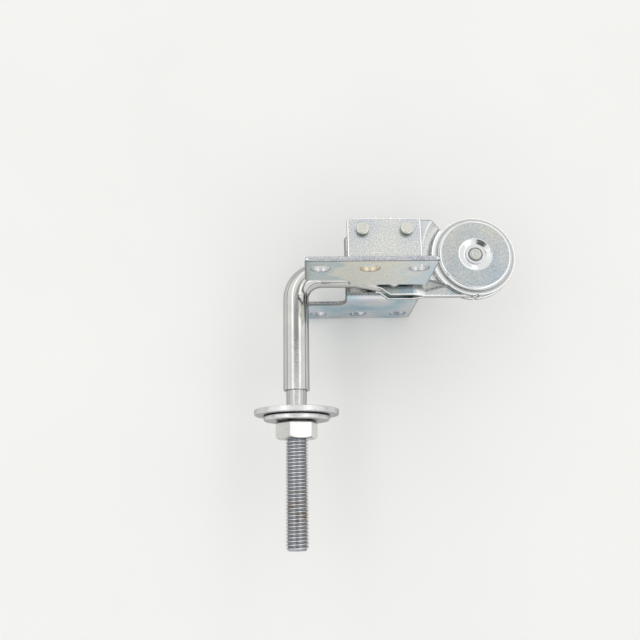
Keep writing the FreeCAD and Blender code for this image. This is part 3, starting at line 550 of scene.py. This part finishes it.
links.new(ramp(nodes, links, bands.outputs["Value"], [
    (0.02, (0.54, 0.60, 0.58)), (0.20, (0.51, 0.60, 0.61)), (0.34, (0.73, 0.72, 0.66)),
    (0.56, (0.76, 0.74, 0.66)), (0.80, (0.72, 0.74, 0.71)), (0.98, (0.58, 0.68, 0.75))]),
    shader.inputs["Base Color"])
gloss(shader, nodes, links, place, scale=1600, detail=1.5, low=0.24, high=0.36)
back_flange_zinc = zinc_sheet(
    "back_flange_zinc", [
        (0.30, (0.30, 0.48, 0.58)), (0.44, (0.46, 0.59, 0.64)), (0.56, (0.62, 0.64, 0.70)),
        (0.70, (0.72, 0.70, 0.63))],
    grain=0.0006, depth=0.000004, low=0.24, high=0.36, fleck=0.06)
sheared_zinc = zinc_sheet(
    "sheared_zinc", [(0.3, (0.48, 0.50, 0.55)), (0.5, (0.56, 0.57, 0.60)), (0.7, (0.62, 0.62, 0.62))],
    grain=0.0007, depth=0.00003, low=0.22, high=0.40, fleck=0.24)
punched_zinc, shader, nodes, links, place = metal("punched_zinc")
across_holes = spread(nodes, links, along(nodes, links, place, "X"), 0.0, 1.0, 0.0, 2 * HOLES[1])
links.new(ramp(nodes, links, across_holes, [
    (0.40, (0.64, 0.65, 0.66)), (0.42, (0.72, 0.63, 0.48)), (0.58, (0.72, 0.63, 0.48)),
    (0.60, (0.64, 0.65, 0.66))]), shader.inputs["Base Color"])
gloss(shader, nodes, links, place, scale=900, detail=2.0, low=0.22, high=0.36)


def at_hole(spot):
    """Whether a place is on the wall or the edge of a screw hole."""
    return any(math.hypot(spot.x - hole, abs(spot.z) - HOLE_LINE) < HOLE_REACH for hole in HOLES)


def on_hole(line):
    """Whether the middle of an edge is on a screw hole."""
    return at_hole((line.verts[0].co + line.verts[1].co) / 2)


def bracket_face(face):
    """0 the plate, 1 the flange and fold, 2 the flange's sheared edge, 3 a hole's wall, 4 the flange's
    corners, given a painted glint, 5 a sheared wall."""
    spot, way = face.calc_center_median(), face.normal
    low = spot.y < FOLD_TOP
    if at_hole(spot) and abs(way.y) < HOLE_TILT:
        return 3
    if abs(way.z) > FLAT_TILT:
        return 0 if spot.y > FOLD_TOP else 2
    if low and min(abs(way.x), abs(way.z)) > CORNER_TILT and abs(spot.z) > HOLE_LINE:
        return 4
    return 1 if low and abs(way.x) < LEVEL_TILT < abs(way.y) else 5


def bracket_edge(face):
    """The rounded edges, by the same numbers: like the walls in the holes and along the flange's outer edge,
    a painted highlight round the plate's outer face, and painted shade elsewhere."""
    spot, way = face.calc_center_median(), face.normal
    if at_hole(spot):
        return 3 if abs(way.y) < HOLE_TILT else 5
    if abs(way.z) < OUTER_TILT or (way.z > 0) != (spot.z > 0):
        return 5
    return 4 if spot.y > FOLD_TOP else 2


for name, node, face_zinc, hole_zinc in (
        ("bracket_front", "front_bracket", flange_zinc, punched_zinc),
        ("bracket_back", "back_bracket", back_flange_zinc, back_flange_zinc)):
    softened(name, node, width=0.0008, segments=4, choose=bracket_face, edge=bracket_edge, slight=on_hole,
             materials=[plate_zinc, face_zinc, sheared_zinc, hole_zinc, highlight_zinc, sheared_wall_shade])

# Bracket rivets and spacers: turned steel pins with plain heads, over short tubes that hold the links apart.
# Zinc plated, with pale grainy heads faced off square, walls darkened with painted shade, and bright tubes.
rivet_zinc = zinc_sheet(
    "rivet_zinc", [(0.3, (0.68, 0.68, 0.62)), (0.5, (0.74, 0.73, 0.68)), (0.7, (0.80, 0.79, 0.75))],
    grain=0.0006, depth=0.000012, low=0.20, high=0.34)
# Painted shade: near-black walls on the rivet heads.
rivet_wall_shade = zinc_sheet(
    "rivet_wall_shade", [(0.3, (0.08, 0.12, 0.12)), (0.5, (0.11, 0.15, 0.15)), (0.7, (0.15, 0.18, 0.18))],
    grain=0.0005, depth=0.000004, low=0.26, high=0.40)
softened("bracket_rivet_pair", "bracket_rivets", width=0.0003, materials=[rivet_zinc, rivet_wall_shade],
         choose=sheet_face)
softened("spacer_pair", "rivet_spacers", width=0.0002, materials=[bright_zinc])

# Covers: pressed steel cups over the link discs, with a rounded rim and a dished middle.
# Satin zinc on the flat ring, drawn brighter on the rim and in the dish.
cover_zinc = zinc_sheet(
    "cover_zinc", [(0.3, (0.44, 0.50, 0.55)), (0.5, (0.52, 0.55, 0.55)), (0.7, (0.57, 0.57, 0.53))],
    grain=0.0006, depth=0.000005, low=0.24, high=0.38, fleck=0.14)
drawn_zinc, shader, nodes, links, place = metal("drawn_zinc")
shader.inputs["Base Color"].default_value = (0.76, 0.77, 0.78, 1)
gloss(shader, nodes, links, place, scale=700, detail=3.0, low=0.08, high=0.20)
links.new(bump(nodes, links, noise(nodes, links, place, 420, 2.0), 0.00002), shader.inputs["Normal"])
DISH_REACH = 0.0078
RING_TILT = 0.999


def cover_face(face):
    """0 the flat ring, 1 the drawn rim and dish, 2 the outer wall, darkened with painted shade."""
    if from_pivot(face)[0] < DISH_REACH:
        return 1
    return 0 if abs(face.normal.z) > RING_TILT else 1 + sheet_face(face)


for name, node in (("cover_front", "front_cover"), ("cover_back", "back_cover")):
    softened(name, node, width=0.0002, materials=[cover_zinc, drawn_zinc, sheared_wall_shade], choose=cover_face,
             edge=lambda face: 1)

# Pivot rivet and collars: one steel pin through the drum, peened over a ring in each dish.
# Zinc plated, with turning rings on the pin's ends and bright collars.
peened_zinc, shader, nodes, links, place = metal("peened_zinc")
shader.inputs["Base Color"].default_value = (0.58, 0.58, 0.55, 1)
centred = nodes.new("ShaderNodeMapping")
centred.inputs["Location"].default_value = -pivot_at
links.new(place, centred.inputs["Vector"])
rings = nodes.new("ShaderNodeTexWave")
rings.wave_type = "RINGS"
rings.rings_direction = "Z"
rings.inputs["Scale"].default_value = 260
rings.inputs["Distortion"].default_value = 1.5
links.new(centred.outputs["Vector"], rings.inputs["Vector"])
links.new(spread(nodes, links, rings.outputs["Fac"], 0.18, 0.34, 0.0, 1.0), shader.inputs["Roughness"])
links.new(bump(nodes, links, rings.outputs["Fac"], 0.00006), shader.inputs["Normal"])
# The walls of the pin and collars take the sheared walls' zinc, darkened with painted shade.
softened("pivot_pin", "pivot_rivet", width=0.0003, materials=[peened_zinc, sheared_wall_shade], choose=sheet_face,
         edge=lambda face: 1)
softened("collar_pair", "pivot_collars", width=0.0002, materials=[drawn_zinc, sheared_wall_shade], choose=sheet_face)

# Pawl, its pin, the spring post and the leaf spring: hardened steel, oiled, inside the drum.
# The pin and post sit in the link discs, and the pawl locks in the teeth of the arm plates' window.
oiled, shader, nodes, links, place = metal("oiled_steel")
links.new(ramp(nodes, links, noise(nodes, links, place, 300, 3.0),
               [(0.3, (0.20, 0.20, 0.20)), (0.7, (0.34, 0.33, 0.32))]), shader.inputs["Base Color"])
gloss(shader, nodes, links, place, scale=1200, detail=2.0, low=0.25, high=0.4)
for node in ("pawl", "pawl_pin", "spring_post", "pawl_spring"):
    repaint(node, oiled)

# Table: a wide white sheet under the hinge, level and just below its lowest flange.
# Matt paper, pale and slightly warm.
TABLE_SIZE = 3.0
TABLE_MIDDLE = (0.04, 0.03)
TABLE_GAP = 0.0001
bm = bmesh.new()
bmesh.ops.create_grid(bm, x_segments=1, y_segments=1, size=TABLE_SIZE / 2)
bmesh.ops.translate(bm, vec=(*TABLE_MIDDLE, solid_box[0].z - TABLE_GAP), verts=bm.verts)
mesh = bpy.data.meshes.new("table")
bm.to_mesh(mesh)
bm.free()
table = bpy.data.objects.new("table", mesh)
bpy.context.scene.collection.objects.link(table)
paper = bpy.data.materials.new("white_paper")
paper.use_nodes = True
nodes, links = paper.node_tree.nodes, paper.node_tree.links
shader = nodes["Principled BSDF"]
shader.inputs["Roughness"].default_value = 0.9
shader.inputs["Specular IOR Level"].default_value = 0.1
place = nodes.new("ShaderNodeTexCoord").outputs["Object"]
links.new(ramp(nodes, links, noise(nodes, links, place, 9, 3.0),
               [(0.3, (0.825, 0.825, 0.81)), (0.7, (0.845, 0.845, 0.83))]), shader.inputs["Base Color"])
table.data.materials.append(paper)

# Light: a white room with two long bright windows overhead, to the left and right, over dark low walls.
# Between the windows are two dim shapes, as of a photographer, and a bright strip, which the polished tube
# and the dish pick out.
WALL = (1.05, 1.05, 1.04)
WINDOW = (1.6, 1.6, 1.6)
CEILING = (1.0, 1.0, 0.99)
LOW_WALL = (0.12, 0.12, 0.12)
UNCHANGED = (1, 1, 1)
SOFT_FROM = 0.82
world = bpy.data.worlds.new("room")
bpy.context.scene.world = world
world.use_nodes = True
nodes, links = world.node_tree.nodes, world.node_tree.links
background = nodes["Background"]
way = nodes.new("ShaderNodeTexCoord").outputs["Generated"]
swing = nodes.new("ShaderNodeMath")
swing.operation = "ARCTAN2"
links.new(along(nodes, links, way, "X"), swing.inputs[0])
links.new(along(nodes, links, way, "Z"), swing.inputs[1])
overhead = spread(nodes, links, swing.outputs["Value"], 0.0, 1.0, -math.pi / 2, math.pi / 2)
room = ramp(nodes, links, overhead, [
    (0.0, WALL), (0.267, CEILING), (0.286, WINDOW), (0.344, WINDOW), (0.367, CEILING), (0.633, CEILING),
    (0.653, WINDOW), (0.722, WINDOW), (0.75, CEILING), (1.0, WALL)])
for swing_at, level_at, wide, tall, strength in (
        (0.02, 0.24, 0.42, 0.075, 0.44),
        (-0.11, -0.26, 0.32, 0.20, 0.12),
        (-0.05, 0.12, 0.6, 0.05, 1.35)):
    shape = nodes.new("ShaderNodeCombineXYZ")
    for axis, value, middle, size in (
            ("X", swing.outputs["Value"], swing_at, wide),
            ("Y", along(nodes, links, way, "Y"), level_at, tall)):
        links.new(spread(nodes, links, value, 0.0, 1.0, middle, middle + size, clamp=False),
                  shape.inputs[axis])
    away = nodes.new("ShaderNodeVectorMath")
    away.operation = "LENGTH"
    links.new(shape.outputs["Vector"], away.inputs[0])
    dim = ramp(nodes, links, away.outputs["Value"], [(SOFT_FROM, (strength,) * 3), (1.0, UNCHANGED)])
    room = scaled(nodes, links, room, dim)
low_wall = ramp(nodes, links, along(nodes, links, way, "Z"), [
    (0.0, LOW_WALL), (0.03, LOW_WALL), (0.12, UNCHANGED)])
room = scaled(nodes, links, room, low_wall)
seen = nodes.new("ShaderNodeMix")
seen.data_type = "RGBA"
links.new(nodes.new("ShaderNodeLightPath").outputs["Is Camera Ray"], seen.inputs["Factor"])
links.new(room, seen.inputs["A"])
seen.inputs["B"].default_value = (0.88, 0.88, 0.86, 1)
links.new(seen.outputs["Result"], background.inputs["Color"])
background.inputs["Strength"].default_value = 1.0

# Camera: above the table and a little towards the stud, as the photograph was taken.
# Its place and direction come from a fit to points of the hinge.
CAMERA_AT = (0.0050, -0.02485, 0.2965)
camera = bpy.data.objects.new("camera", bpy.data.cameras.new("camera"))
bpy.context.scene.collection.objects.link(camera)
camera.data.sensor_width = 36.0
camera.data.lens = 36.56
camera.data.clip_start = 0.01
forward = Vector((0.0204, 0.2614, -0.9650)).normalized()
upward = Vector((0.0102, 0.9651, 0.2616))
rightward = forward.cross(upward).normalized()
upward = rightward.cross(forward)
turn = Matrix((rightward, upward, -forward)).transposed().to_4x4()
camera.matrix_world = Matrix.Translation(CAMERA_AT) @ turn
bpy.context.scene.camera = camera
bpy.context.scene.view_settings.view_transform = "Standard"
